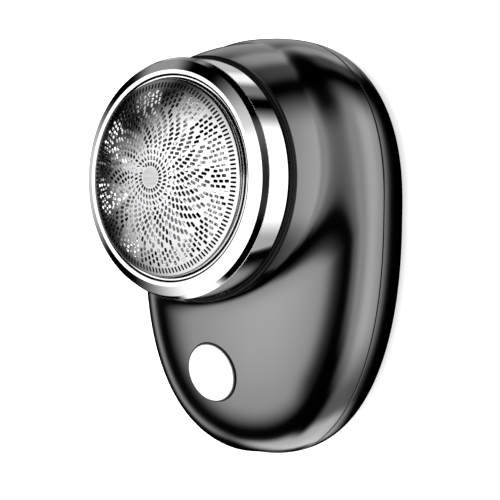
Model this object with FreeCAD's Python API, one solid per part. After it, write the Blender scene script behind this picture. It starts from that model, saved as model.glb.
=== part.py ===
import FreeCAD, Part
import math
import os
from FreeCAD import Vector

# A pocket rotary shaver. All sizes in millimetres. +Z points out of the shaving head, +Y towards
# the head end of the body; the origin is where the head axis meets the flat back.

# --- body outside ---
BACK_DEPTH = 9.7            # flat back up to the widest section (the crest)
NECK_RISE = 15.8            # crest up to the end of the neck
NECK_R = 19.4               # neck radius at its end
HALF_WIDTH = 22.68          # half-width at the crest
WIDE_Y = -5.18              # where the body is widest
HEAD_END = 28.0             # from there to the head end
FOOT_END = 38.55            # from there to the lower end
HEAD_POWER = 2.38           # superellipse power of the outline, head end
FOOT_POWER = 2.33           # the same, lower end
FRONT_RISE = 15.25          # crest up to the top of the front, turret left aside
FRONT_Y = -10.13            # where the front is highest
FRONT_POWERS = (3.147, 2.144)
SECTION_POWERS = (1.929, 2.362)
SECTION_MEAN = 2.4
FLARE_SIDE = 20.44          # radius of the turret's foot at the sides
FLARE_END = 22.19           # the same, towards the two ends
FLARE_POWER = 2.24
FLARE_LIMIT = 1.2           # the flare stops narrowing at this share of the neck's rise
TURRET_SCALE = 0.95
BLEND = 2.73                # how far turret and front run into each other
BACK_Y = -8.0               # centre the back shrinks towards
BACK_SHRINK = 0.328         # part of the outline lost between crest and flat back
BACK_POWERS = (2.51, 3.555)
SEAM_Z = 8.25               # middle of the parting line

# --- walls and general clearances ---
WALL = 1.3
FLOOR = 1.4
MOVING_GAP = 0.3            # between bodies that move past each other
RUNNING_GAP = 0.06          # shaft in its bearing, seal on its shaft
HEX_GAP = 0.1               # hexagon in its socket, each side
SCREW_GAP = 0.05            # screw shank in its hole
GASKET_T = 0.3
GASKET_INSET = 0.3
GASKET_WIDTH = 0.8
RING_POINTS = 60
RING_START = 60.0           # direction in which the rings begin, in degrees, clear of every opening
FRONT_RINGS = 13
BACK_RINGS = 9
RING_SPREAD = 1.6
RING_APART = 0.25           # least height between two sections

# --- neck ---
NECK_Z = BACK_DEPTH + NECK_RISE
DECK_T = 1.6
DECK_HOLE_R = 5.0
NECK_BORE_R = 17.4
NECK_RING_R = 19.5
NECK_RING_BORE_R = 17.0
NECK_RING_H = 1.15
NECK_RING_ROUND = 0.3

# --- head: heights from the rim plane ---
RIM_Z = NECK_Z + 7.1
RIM_R = 18.5
LIP_R = 16.96
LIP_BORE_R = 16.3
LIP_RISE = 0.84
BEVEL_DROP = 1.15
COLLAR_R = 19.0
COLLAR_T = 1.0
COLLAR_DROP = 5.63
COLLAR_CHAMFER = 0.15
FRAME_SKIRT_R = 17.6
FRAME_LEDGE_DROP = 1.6
FRAME_SKIRT_DROP = 4.4
BASE_FLANGE_T = 1.2
BASE_PLATE_T = 1.5
BASE_HOLE_R = 6.2
STRIKE_R = (12.2, 15.8)
STRIKE_T = 0.8
MAGNET_R = 1.9
MAGNET_T = 1.2
MAGNET_CIRCLE_R = 14.0
MAGNETS = 3
MAGNET_START = 90.0         # degrees, direction of the first magnet

# --- foil and cutter ---
FOIL_RISE = 5.87            # rim plane up to the middle of the dome
DOME_R = 35.5
FOIL_T = 0.25
FOIL_EDGE_R = 14.5
FOIL_R = 15.2
FOIL_ROUND = 0.85
FOIL_SHOULDER = (0.72, 0.3)  # middle of the shoulder's arc, as shares of its width and drop
FOIL_RING_R = 17.2
FOIL_RING_T = 1.0
FOIL_RING_LIP = (15.55, 15.9)
FOIL_RING_LIP_DROP = 0.1    # lip of the foil ring below the bezel's lip
FLOAT_TRAVEL = 1.0
SLOT_ROWS = (4.2, 7.6, 11.0)
SLOTS_PER_ROW = 18
SLOT_SIZE = (0.5, 2.2)
BLADES = 18
BLADE_T = 0.4
BLADE_R = (3.6, 14.0)
CARRIER_R = 14.1
CARRIER_T = 1.2
CARRIER_DROP = 0.2          # carrier's upper face below the rim plane
BLADE_SEAT = 0.3
HUB_R = 3.1
HUB_RISE = 3.0
HUB_DROP = 1.0
SOCKET_ROOF = 1.2

# --- drive ---
MOTOR_R = 12.2
MOTOR_LENGTH = 12.3
MOTOR_T = 0.8
MOTOR_BASE_Z = 7.4
NOSE_R = 3.0
NOSE_H = 1.0
SHAFT_R = 1.0
SHAFT_TOP_Z = 24.2
ROTOR_R = 8.0
ROTOR_INSET = 2.2
PLATE_T = 1.0
PLATE_R = 16.6
COUPLING_R = 3.6
COUPLING_Z = (21.9, 28.8)
COUPLING_FLOOR = 1.1
COUPLING_LIP = 0.7
SPINDLE_FOOT_AF = 4.4
SPINDLE_FOOT_T = 1.3
SPINDLE_AF = 3.0
SPINDLE_TIP_GAP = 0.3
STOP_GAP = 0.2
SPRING_R = 1.5
SPRING_WIRE_R = 0.2
SPRING_WIRE_SIDES = 12
SPRING_TURNS = 4
SPRING_END = 0.25

# --- button and switch ---
BUTTON_Y = -30.6
BUTTON_TILT = 14.5          # degrees between the button's axis and +Z
BUTTON_R = 4.6
BUTTON_GAP = 0.25
BUTTON_PROUD = 0.12
BUTTON_CAP_T = 1.75
BUTTON_ROUND = 0.25
BUTTON_FLANGE_R = 5.2
BUTTON_FLANGE_T = 0.5
BUTTON_TRAVEL = 0.4
STEM_R = 2.0
STEM_FOOT_Z = 19.3
SEAL_RING_R = (5.6, 6.7)
SEAL_RING_DEPTH = 3.1
SEAL_T = 0.4
SEAL_EDGE = 0.1             # seal held back from the ring's outside and clear of the stem
SWITCH_SIZE = 6.0
SWITCH_H = 3.5
PLUNGER_R = 1.75
PLUNGER_GAP = 0.08
SWITCH_FLOOR = 1.0
PLUNGER_LIFT = 0.8          # room under the plunger
STEM_GAP = 0.1

# --- electrics ---
BOARD_Z = 12.4
BOARD_T = 1.0
BOARD_HALF_WIDTH = 8.0
BOARD_Y = (-40.0, -20.6)
BOARD_POST = (6.0, -22.6)
BOARD_POST_R = 1.6
USB_WIDTH = 8.94
USB_HEIGHT = 3.26
USB_LENGTH = 7.3
USB_T = 0.3
USB_TONGUE = (6.7, 0.7, 4.6)
USB_MOUTH_Y = -42.6
USB_SLOT_GAP = 0.3
PORT_SLOT_DEPTH = 3.0       # the shell's slot runs this far past the board's end
BATTERY_SIZE = (20.0, 35.0, 5.4)
BATTERY_END_Y = 1.5
BATTERY_ROUND = 1.0
PAD_T = 0.3
PAD_INSET = 3.0

# --- screws ---
CASE_SCREWS = ((13.5, 7.8), (14.0, -19.0))
CASE_BOSS_R = 2.3
COVER_BOSS_R = 2.8
CASE_HEAD_R = 1.8
CASE_HEAD_T = 1.3
CASE_SEAT_Z = 2.6
CASE_SCREW_R = 0.9
CASE_SCREW_TIP_Z = 13.0
SCREW_TIP_ROOM = 1.0
HEAD_CLEARANCE = 0.2
SMALL_HEAD_R = 1.5
SMALL_HEAD_T = 0.7
SMALL_SCREW_R = 0.7
PLATE_SCREW_CIRCLE_R = 14.6
PLATE_SCREWS = 3
PLATE_SCREW_START = 90.0
PLATE_BOSS_R = 1.7
PLATE_SCREW_LENGTH = 3.6
MOTOR_SCREW_CIRCLE_R = 8.0
MOTOR_SCREW_LENGTH = 1.6
BOARD_SCREW_LENGTH = 3.5

UP = Vector(0, 0, 1)
FAR = 100.0


def superellipse(part, first, second):
    """Height of a superellipse quarter: 1 at the middle, 0 where part reaches 1."""
    return max(1.0 - min(abs(part), 1.0) ** first, 0.0) ** (1.0 / second)


def outside(x, y, z):
    """Signed measure of a point over the crest: negative inside the front of the body."""
    from_wide = y - WIDE_Y
    end, power = (HEAD_END, HEAD_POWER) if from_wide >= 0 else (FOOT_END, FOOT_POWER)
    width = max(HALF_WIDTH * superellipse(from_wide / end, power, power), 1e-3)
    reach = WIDE_Y + HEAD_END - FRONT_Y if y >= FRONT_Y else FOOT_END - WIDE_Y + FRONT_Y
    rise = max(FRONT_RISE * superellipse((y - FRONT_Y) / reach, *FRONT_POWERS), 1e-3)
    level = (abs(x) / width) ** SECTION_POWERS[0] + (abs(z) / rise) ** SECTION_POWERS[1]
    level += FAR * max(abs(from_wide) - end, 0.0)
    front = (min(level, FAR) ** (1.0 / SECTION_MEAN) - 1.0) * math.sqrt(x * x + y * y + z * z)
    radius = math.hypot(x, y)
    foot = FLARE_SIDE + (FLARE_END - FLARE_SIDE) * (y / max(radius, 1e-6)) ** 2
    flare = foot - (foot - NECK_R) * min(max(z, 0.0) / NECK_RISE, FLARE_LIMIT) ** FLARE_POWER
    turret = (radius - flare) * TURRET_SCALE
    near = max(BLEND - abs(front - turret), 0.0) / BLEND
    return min(front, turret) - near * near * BLEND / 4.0


def wall_measure(x, y, z, inset):
    """outside() turned into millimetres by its own slope, moved in by a wall."""
    value = outside(x, y, z)
    if not inset:
        return value
    step = 0.02
    slope_x = outside(x + step, y, z) - outside(x - step, y, z)
    slope_y = outside(x, y + step, z) - outside(x, y - step, z)
    slope_z = outside(x, y, z + step) - outside(x, y, z - step)
    slope = math.sqrt(slope_x ** 2 + slope_y ** 2 + slope_z ** 2) / (2 * step)
    return value + inset * min(max(slope, 0.3), 3.0)


def wall_radius(angle, z, inset):
    """Distance from the head axis to the wall in one direction, at one height over the crest."""
    low, high = 6.0, FOOT_END - WIDE_Y + 4.0
    for _ in range(26):
        middle = (low + high) / 2
        if wall_measure(middle * math.cos(angle), middle * math.sin(angle), z, inset) > 0:
            high = middle
        else:
            low = middle
    return (low + high) / 2


def closed_wire(points):
    curve = Part.BSplineCurve()
    curve.interpolate(Points=points, PeriodicFlag=True)
    return Part.Wire(curve.toShape())


def section(z, inset, floor):
    """Closed outline of the body at one height over the flat back, moved in by a wall."""
    angles = [math.radians(RING_START + 360.0 * i / RING_POINTS) for i in range(RING_POINTS)]
    if z > NECK_Z - 1e-6:
        end_r = NECK_R - inset
        return [Vector(end_r * math.cos(a), end_r * math.sin(a), z) for a in angles]
    radii = [wall_radius(a, max(z - BACK_DEPTH, 0.0), inset) for a in angles]
    outline = [Vector(r * math.cos(a), r * math.sin(a), z) for r, a in zip(radii, angles)]
    if z >= BACK_DEPTH:
        return outline
    drop = (BACK_DEPTH - z) / (BACK_DEPTH - floor)
    scale = 1.0 - BACK_SHRINK * (1.0 - superellipse(drop, *BACK_POWERS))
    return [Vector(p.x * scale, BACK_Y + (p.y - BACK_Y) * scale, z) for p in outline]


def body_solid(low, high, inset=0.0):
    """The body between two heights, its wall moved in by inset (and its floor by as much)."""
    floor = FLOOR * inset / WALL
    steps = [i / (FRONT_RINGS - 1) for i in range(FRONT_RINGS)]
    levels = [BACK_DEPTH + NECK_RISE * (1.0 - step ** RING_SPREAD) for step in steps]
    levels += [BACK_DEPTH - (BACK_DEPTH - floor) * math.sin(math.pi / 2 * i / (BACK_RINGS - 1))
               for i in range(1, BACK_RINGS)]
    low = max(low, floor)
    inside = [z for z in levels if low + RING_APART < z < high - RING_APART]
    wires = [closed_wire(section(z, inset, floor)) for z in [high] + inside + [low]]
    return Part.makeLoft(wires, True, False)


def cylinder(radius, z_low, z_high, x=0.0, y=0.0):
    return Part.makeCylinder(radius, z_high - z_low, Vector(x, y, z_low), UP)


def tube(outer, inner, z_low, z_high, x=0.0, y=0.0):
    return cylinder(outer, z_low, z_high, x, y).cut(cylinder(inner, z_low, z_high, x, y))


def box(x_low, x_high, y_low, y_high, z_low, z_high):
    size = (x_high - x_low, y_high - y_low, z_high - z_low)
    return Part.makeBox(*size, Vector(x_low, y_low, z_low))


def slab(z_low, z_high):
    return box(-FAR, FAR, -FAR, FAR, z_low, z_high)


def turned(profile):
    """A solid of revolution about the head axis from (radius, height) corners."""
    points = [Vector(r, 0, z) for r, z in profile]
    return Part.Face(Part.makePolygon(points + points[:1])).revolve(Vector(), UP, 360)


def pill(width, height, y_low, y_high, z_middle):
    """A bar along Y whose section is a flat slot with round ends."""
    half, radius = width / 2 - height / 2, height / 2

    def at(x, z):
        return Vector(x, y_low, z_middle + z)

    edges = [Part.makeLine(at(-half, radius), at(half, radius)),
             Part.Arc(at(half, radius), at(half + radius, 0), at(half, -radius)).toShape(),
             Part.makeLine(at(half, -radius), at(-half, -radius)),
             Part.Arc(at(-half, -radius), at(-half - radius, 0), at(-half, radius)).toShape()]
    return Part.Face(Part.Wire(edges)).extrude(Vector(0, y_high - y_low, 0))


def hexagon(across_flats, z_low, z_high):
    corner = across_flats / math.sqrt(3)
    points = [Vector(corner * math.cos(math.pi / 3 * i), corner * math.sin(math.pi / 3 * i), z_low)
              for i in range(7)]
    return Part.Face(Part.makePolygon(points)).extrude(Vector(0, 0, z_high - z_low))


def around(shape, count, start=0.0):
    """Copies of a shape turned about the head axis, as a list."""
    copies = []
    for i in range(count):
        copy = shape.copy()
        copy.rotate(Vector(), UP, start + 360.0 * i / count)
        copies.append(copy)
    return copies


def joined(first, others):
    return first.fuse(others).removeSplitter()


def screw(head_r, head_t, shank_r, length, x=0.0, y=0.0, seat_z=0.0, up=1):
    """A pan-head screw: its head sits on seat_z, its shank runs to the side given by up."""
    tip = seat_z + up * length
    head = seat_z - up * head_t
    shank = cylinder(shank_r, min(seat_z, tip), max(seat_z, tip), x, y)
    cap = cylinder(head_r, min(seat_z, head), max(seat_z, head), x, y)
    slot = box(x - head_r, x + head_r, y - shank_r / 4, y + shank_r / 4,
               min(head, head + up * head_t / 3), max(head, head + up * head_t / 3))
    return shank.fuse(cap).removeSplitter().cut(slot)


def along_button(shape):
    """Moves a shape built on +Z with the button's face at z = 0 to the button's place."""
    shape.rotate(Vector(), Vector(1, 0, 0), BUTTON_TILT)
    shape.translate(BUTTON_POINT)
    return shape


def front_height(y):
    """Height of the outside on the middle plane, over the flat back."""
    low, high = 0.0, NECK_RISE
    for _ in range(40):
        middle = (low + high) / 2
        if outside(0.0, y, middle) > 0:
            high = middle
        else:
            low = middle
    return BACK_DEPTH + low


def dome_z(radius, inset=0.0):
    return FOIL_TOP_Z - DOME_R + math.sqrt((DOME_R - inset) ** 2 - radius ** 2)


FOIL_TOP_Z = RIM_Z + FOIL_RISE
BUTTON_POINT = Vector(0, BUTTON_Y, front_height(BUTTON_Y))
COLLAR_Z = (RIM_Z - COLLAR_DROP, RIM_Z - BEVEL_DROP)
BASE_Z = NECK_Z + MOVING_GAP
LEDGE_Z = RIM_Z - FRAME_LEDGE_DROP
FOIL_RING_Z = (LEDGE_Z - STOP_GAP - FOIL_RING_T, LEDGE_Z - STOP_GAP)
CARRIER_Z = (RIM_Z - CARRIER_DROP - CARRIER_T, RIM_Z - CARRIER_DROP)
HUB_Z = (CARRIER_Z[0] - HUB_DROP, CARRIER_Z[1] + HUB_RISE)
MOTOR_Z = (MOTOR_BASE_Z, MOTOR_BASE_Z + MOTOR_LENGTH)
PLATE_Z = (MOTOR_Z[1], MOTOR_Z[1] + PLATE_T)
DECK_Z = NECK_Z - DECK_T
SEAM_LOW, SEAM_TOP = SEAM_Z - GASKET_T / 2, SEAM_Z + GASKET_T / 2
BOARD_TOP = BOARD_Z + BOARD_T
USB_Z = (BOARD_Z - USB_HEIGHT, BOARD_Z)
STEM_DEPTH = (BUTTON_POINT.z - STEM_FOOT_Z) / math.cos(math.radians(BUTTON_TILT))
SWITCH_Y = BUTTON_Y + STEM_DEPTH * math.sin(math.radians(BUTTON_TILT))


def case_screw_points():
    return [(side * x, y) for x, y in CASE_SCREWS for side in (-1, 1)]


def make_front_shell(middle):
    """Glossy front: neck, front and sides down to the parting line, one moulding."""
    hollow = body_solid(SEAM_TOP, DECK_Z, WALL).fuse(cylinder(NECK_BORE_R, BACK_DEPTH, DECK_Z))
    shell = body_solid(SEAM_TOP, NECK_Z).cut(hollow)
    ribs = [cylinder(CASE_BOSS_R, SEAM_TOP, DECK_Z, x, y) for x, y in case_screw_points()]
    ribs += [cylinder(BOARD_POST_R, BOARD_TOP, DECK_Z, side * BOARD_POST[0], BOARD_POST[1])
             for side in (-1, 1)]
    ribs += around(cylinder(PLATE_BOSS_R, PLATE_Z[1], DECK_Z + DECK_T / 2, PLATE_SCREW_CIRCLE_R, 0),
                   PLATE_SCREWS, PLATE_SCREW_START)
    ribs.append(along_button(tube(SEAL_RING_R[1], SEAL_RING_R[0], -SEAL_RING_DEPTH, 0.0)))
    shell = shell.fuse([middle.common(rib) for rib in ribs])
    holes = [cylinder(CASE_SCREW_R + SCREW_GAP, SEAM_Z, CASE_SCREW_TIP_Z + SCREW_TIP_ROOM, x, y)
             for x, y in case_screw_points()]
    holes += [cylinder(SMALL_SCREW_R + SCREW_GAP, BOARD_TOP, BOARD_TOP + BOARD_SCREW_LENGTH,
                       side * BOARD_POST[0], BOARD_POST[1]) for side in (-1, 1)]
    plate_screw_end = PLATE_Z[0] + PLATE_SCREW_LENGTH + SCREW_GAP
    holes += around(cylinder(SMALL_SCREW_R + SCREW_GAP, PLATE_Z[1], plate_screw_end,
                             PLATE_SCREW_CIRCLE_R, 0), PLATE_SCREWS, PLATE_SCREW_START)
    holes += around(cylinder(MAGNET_R, NECK_Z - MAGNET_T, NECK_Z, MAGNET_CIRCLE_R, 0),
                    MAGNETS, MAGNET_START)
    holes.append(cylinder(DECK_HOLE_R, DECK_Z, NECK_Z))
    holes.append(along_button(cylinder(BUTTON_R + BUTTON_GAP, -BUTTON_CAP_T - BUTTON_FLANGE_T, FAR)))
    flange_room = MOVING_GAP / 2 - BUTTON_CAP_T
    holes.append(along_button(cylinder(SEAL_RING_R[0], -SEAL_RING_DEPTH, flange_room)))
    holes.append(pill(USB_WIDTH + 2 * USB_SLOT_GAP, USB_HEIGHT + 2 * USB_SLOT_GAP,
                      -FAR, BOARD_Y[0] + PORT_SLOT_DEPTH, sum(USB_Z) / 2))
    return shell.cut(holes)


def make_back_cover(middle):
    """Bowl that closes the back and carries the cell and the four screws."""
    cover = body_solid(0.0, SEAM_LOW).cut(body_solid(0.0, SEAM_LOW, WALL))
    bosses = [cylinder(COVER_BOSS_R, 0.0, SEAM_LOW, x, y) for x, y in case_screw_points()]
    cover = cover.fuse([middle.common(boss) for boss in bosses])
    holes = [cylinder(CASE_SCREW_R + HEAD_CLEARANCE, -FLOOR, SEAM_Z, x, y)
             for x, y in case_screw_points()]
    holes += [cylinder(CASE_HEAD_R + HEAD_CLEARANCE, -FLOOR, CASE_SEAT_Z, x, y)
              for x, y in case_screw_points()]
    return cover.cut(holes)


def make_case_gasket():
    """Flat seal in the parting line, held back a little from the outside."""
    edge = section(SEAM_LOW, GASKET_INSET, 0.0)
    bore = section(SEAM_LOW, GASKET_INSET + GASKET_WIDTH, 0.0)
    disc, middle = [Part.Face(Part.makePolygon(loop + loop[:1])) for loop in (edge, bore)]
    return disc.cut(middle).extrude(Vector(0, 0, GASKET_T))


def outer_rims(ring, radius):
    """The two round edges of a ring's outside."""
    return [e for e in ring.Edges if abs(e.Length - 2 * math.pi * radius) < 1e-3]


def make_neck_ring():
    ring = tube(NECK_RING_R, NECK_RING_BORE_R, NECK_Z, NECK_Z + NECK_RING_H)
    return ring.makeFillet(NECK_RING_ROUND, outer_rims(ring, NECK_RING_R))


def make_collar():
    ring = tube(COLLAR_R, COLLAR_R - COLLAR_T, *COLLAR_Z)
    return ring.makeChamfer(COLLAR_CHAMFER, outer_rims(ring, COLLAR_R))


def make_head_frame():
    """Chrome bezel: steep bevel, sloping face, narrow lip, skirt inside the collar."""
    seat_r = COLLAR_R - COLLAR_T
    return turned([
        (COLLAR_R, COLLAR_Z[1]), (RIM_R, RIM_Z), (LIP_R, RIM_Z + LIP_RISE),
        (LIP_BORE_R, RIM_Z + LIP_RISE), (LIP_BORE_R, LEDGE_Z), (FRAME_SKIRT_R, LEDGE_Z),
        (FRAME_SKIRT_R, RIM_Z - FRAME_SKIRT_DROP), (seat_r, RIM_Z - FRAME_SKIRT_DROP),
        (seat_r, COLLAR_Z[1])])


def make_head_base():
    """Floor of the head: spigot inside the neck ring, flange inside the collar."""
    spigot_r = NECK_RING_BORE_R - MOVING_GAP
    flange_top = RIM_Z - FRAME_SKIRT_DROP
    base = turned([
        (BASE_HOLE_R, BASE_Z), (spigot_r, BASE_Z), (spigot_r, COLLAR_Z[0]),
        (COLLAR_R - COLLAR_T, COLLAR_Z[0]), (COLLAR_R - COLLAR_T, flange_top),
        (spigot_r - BASE_PLATE_T, flange_top), (spigot_r - BASE_PLATE_T, BASE_Z + BASE_PLATE_T),
        (BASE_HOLE_R, BASE_Z + BASE_PLATE_T)])
    return base.cut(tube(STRIKE_R[1], STRIKE_R[0], BASE_Z, BASE_Z + STRIKE_T))


def make_foil():
    """Thin domed cap with rows of radial slots and a straight side wall."""
    def cap(inset):
        edge_r, wall_r = FOIL_EDGE_R, FOIL_R - inset
        arc = Part.Arc(Vector(0, 0, dome_z(0, inset)),
                       Vector(edge_r / 2, 0, dome_z(edge_r / 2, inset)),
                       Vector(edge_r, 0, dome_z(edge_r, inset))).toShape()
        edge = Vector(edge_r, 0, dome_z(edge_r, inset))
        wall_top = Vector(wall_r, 0, dome_z(edge_r) - FOIL_ROUND)
        over, under = FOIL_SHOULDER
        middle = Vector(edge_r + (wall_r - edge_r) * over, 0, edge.z - (edge.z - wall_top.z) * under)
        shoulder = Part.Arc(edge, middle, wall_top).toShape()
        foot = Vector(wall_r, 0, FOIL_RING_Z[1])
        lines = [Part.makeLine(wall_top, foot), Part.makeLine(foot, Vector(0, 0, foot.z)),
                 Part.makeLine(Vector(0, 0, foot.z), Vector(0, 0, dome_z(0, inset)))]
        return Part.Face(Part.Wire([arc, shoulder] + lines)).revolve(Vector(), UP, 360)

    slots = []
    width, length = SLOT_SIZE
    for row, radius in enumerate(SLOT_ROWS):
        slot = box(radius, radius + length, -width / 2, width / 2, RIM_Z, FOIL_TOP_Z + 1.0)
        slots += around(slot, SLOTS_PER_ROW, row * 180.0 / SLOTS_PER_ROW)
    return cap(0.0).cut(cap(FOIL_T)).cut(slots)


def make_foil_ring():
    """Ring that carries the foil and stops it under the bezel's ledge."""
    inner_r = FOIL_R - FOIL_T
    lip_top = RIM_Z + LIP_RISE - FOIL_RING_LIP_DROP
    return turned([
        (inner_r, FOIL_RING_Z[0]), (FOIL_RING_R, FOIL_RING_Z[0]), (FOIL_RING_R, FOIL_RING_Z[1]),
        (FOIL_RING_LIP[1], FOIL_RING_Z[1]), (FOIL_RING_LIP[1], lip_top),
        (FOIL_RING_LIP[0], lip_top), (FOIL_RING_LIP[0], FOIL_RING_Z[1]),
        (inner_r, FOIL_RING_Z[1])])


def blade_plate():
    """One upright blade, its upper edge kept a moving gap under the foil."""
    room = Part.makeSphere(DOME_R - FOIL_T - MOVING_GAP, Vector(0, 0, FOIL_TOP_Z - DOME_R))
    foot_z = CARRIER_Z[1] - BLADE_SEAT
    return box(*BLADE_R, -BLADE_T / 2, BLADE_T / 2, foot_z, FOIL_TOP_Z).common(room)


def make_cutter_carrier(blades):
    disc = cylinder(CARRIER_R, *CARRIER_Z).fuse(cylinder(HUB_R, *HUB_Z)).removeSplitter()
    socket = hexagon(SPINDLE_AF + 2 * HEX_GAP, HUB_Z[0], HUB_Z[1] - SOCKET_ROOF)
    return disc.cut(socket).cut(blades)


def make_motor_can():
    can = tube(MOTOR_R, MOTOR_R - MOTOR_T, *MOTOR_Z)
    ends = [cylinder(MOTOR_R, MOTOR_Z[0], MOTOR_Z[0] + MOTOR_T),
            cylinder(MOTOR_R, MOTOR_Z[1] - MOTOR_T, MOTOR_Z[1]),
            cylinder(NOSE_R, MOTOR_Z[0], MOTOR_Z[0] + 2 * MOTOR_T),
            cylinder(NOSE_R, MOTOR_Z[1] - MOTOR_T, MOTOR_Z[1] + NOSE_H)]
    can = joined(can, ends)
    bearing = cylinder(SHAFT_R + RUNNING_GAP, MOTOR_Z[0] + MOTOR_T / 2, MOTOR_Z[1] + NOSE_H)
    taps = around(cylinder(SMALL_SCREW_R + SCREW_GAP, MOTOR_Z[1] - MOTOR_T, MOTOR_Z[1],
                           MOTOR_SCREW_CIRCLE_R, 0), 2)
    return can.cut([bearing] + taps)


def make_motor_plate():
    holes = [cylinder(NOSE_R, *PLATE_Z)]
    holes += around(cylinder(SMALL_SCREW_R + SCREW_GAP, *PLATE_Z, MOTOR_SCREW_CIRCLE_R, 0), 2)
    holes += around(cylinder(SMALL_SCREW_R + SCREW_GAP, *PLATE_Z, PLATE_SCREW_CIRCLE_R, 0),
                    PLATE_SCREWS, PLATE_SCREW_START)
    holes += [cylinder(CASE_BOSS_R + MOVING_GAP, *PLATE_Z, x, y) for x, y in case_screw_points()]
    return cylinder(PLATE_R, *PLATE_Z).cut(holes)


def make_drive_coupling():
    """Cup pressed on the motor shaft; its hexagon drives the sliding spindle."""
    low, high = COUPLING_Z
    cup = cylinder(COUPLING_R, low, high)
    pocket = hexagon(SPINDLE_FOOT_AF + 2 * HEX_GAP, low + COUPLING_FLOOR, high - COUPLING_LIP)
    mouth = cylinder(SPINDLE_AF / math.sqrt(3) + 2 * HEX_GAP, high - COUPLING_LIP, high)
    return cup.cut([pocket, mouth, cylinder(SHAFT_R, low, low + COUPLING_FLOOR)])


def spindle_foot_z():
    top = COUPLING_Z[1] - COUPLING_LIP - STOP_GAP
    return top - SPINDLE_FOOT_T, top


def make_spindle():
    foot_low, foot_high = spindle_foot_z()
    tip = HUB_Z[1] - SOCKET_ROOF - SPINDLE_TIP_GAP
    return joined(hexagon(SPINDLE_FOOT_AF, foot_low, foot_high), [hexagon(SPINDLE_AF, foot_high, tip)])


def make_drive_spring():
    """Coiled wire; the wire's section has many small flats in place of a circle."""
    low = COUPLING_Z[0] + COUPLING_FLOOR + SPRING_END
    high = spindle_foot_z()[0] - SPRING_END
    helix = Part.makeHelix((high - low) / SPRING_TURNS, high - low, SPRING_R)
    helix.translate(Vector(0, 0, low))
    turns = [2 * math.pi * i / SPRING_WIRE_SIDES for i in range(SPRING_WIRE_SIDES)]
    corners = [Vector(SPRING_R + SPRING_WIRE_R * math.cos(turn), 0, low + SPRING_WIRE_R * math.sin(turn))
               for turn in turns]
    section_wire = Part.makePolygon(corners + corners[:1])
    return Part.Wire(helix.Edges).makePipeShell([section_wire], True, True)


def make_button_cap():
    flange_top = -BUTTON_CAP_T
    flange_low = flange_top - BUTTON_FLANGE_T
    cap = cylinder(BUTTON_R, flange_low, BUTTON_PROUD)
    rim = [e for e in cap.Edges if e.BoundBox.ZMin > BUTTON_PROUD - 1e-3]
    cap = cap.makeFillet(BUTTON_ROUND, rim)
    flange = cylinder(BUTTON_FLANGE_R, flange_low, flange_top)
    stem = cylinder(STEM_R, -STEM_DEPTH - STEM_R, flange_low)
    button = along_button(joined(cap, [flange, stem]))
    return button.cut(slab(-FAR, STEM_FOOT_Z))


def make_button_seal():
    depth = -SEAL_RING_DEPTH
    return along_button(tube(SEAL_RING_R[1] - SEAL_EDGE, STEM_R + SEAL_EDGE, depth - SEAL_T, depth))


def make_switch_body():
    half = SWITCH_SIZE / 2
    top = BOARD_TOP + SWITCH_H
    block = box(-half, half, SWITCH_Y - half, SWITCH_Y + half, BOARD_TOP, top)
    return block.cut(cylinder(PLUNGER_R + PLUNGER_GAP, BOARD_TOP + SWITCH_FLOOR, top, 0, SWITCH_Y))


def make_switch_plunger():
    foot_z = BOARD_TOP + SWITCH_FLOOR + PLUNGER_LIFT
    return cylinder(PLUNGER_R, foot_z, STEM_FOOT_Z - STEM_GAP, 0, SWITCH_Y)


def make_circuit_board():
    board = box(-BOARD_HALF_WIDTH, BOARD_HALF_WIDTH, *BOARD_Y, BOARD_Z, BOARD_TOP)
    hole = cylinder(SMALL_SCREW_R + SCREW_GAP, BOARD_Z, BOARD_TOP)
    holes = [hole.translated(Vector(side * BOARD_POST[0], BOARD_POST[1], 0)) for side in (-1, 1)]
    return board.cut(holes)


def make_usb_socket():
    middle = sum(USB_Z) / 2
    back_y = USB_MOUTH_Y + USB_LENGTH
    can = pill(USB_WIDTH, USB_HEIGHT, USB_MOUTH_Y, back_y, middle)
    room = pill(USB_WIDTH - 2 * USB_T, USB_HEIGHT - 2 * USB_T, USB_MOUTH_Y, back_y - 2 * USB_T, middle)
    width, height, length = USB_TONGUE
    tongue = box(-width / 2, width / 2, back_y - 2 * USB_T - length, back_y - 2 * USB_T,
                 middle - height / 2, middle + height / 2)
    return joined(can.cut(room), [tongue])


def make_battery():
    width, length, thick = BATTERY_SIZE
    low = FLOOR + PAD_T
    cell = box(-width / 2, width / 2, BATTERY_END_Y - length, BATTERY_END_Y, low, low + thick)
    upright = [e for e in cell.Edges if abs(e.Length - thick) < 1e-3]
    return cell.makeFillet(BATTERY_ROUND, upright)


def make_battery_pad():
    width, length, _ = BATTERY_SIZE
    half = width / 2 - PAD_INSET
    return box(-half, half, BATTERY_END_Y - length + PAD_INSET, BATTERY_END_Y - PAD_INSET,
               FLOOR, FLOOR + PAD_T)


def group(shapes):
    return Part.makeCompound(shapes)


middle_body = body_solid(0.0, NECK_Z, WALL / 2)
blade_list = around(blade_plate(), BLADES, 180.0 / BLADES)

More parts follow.
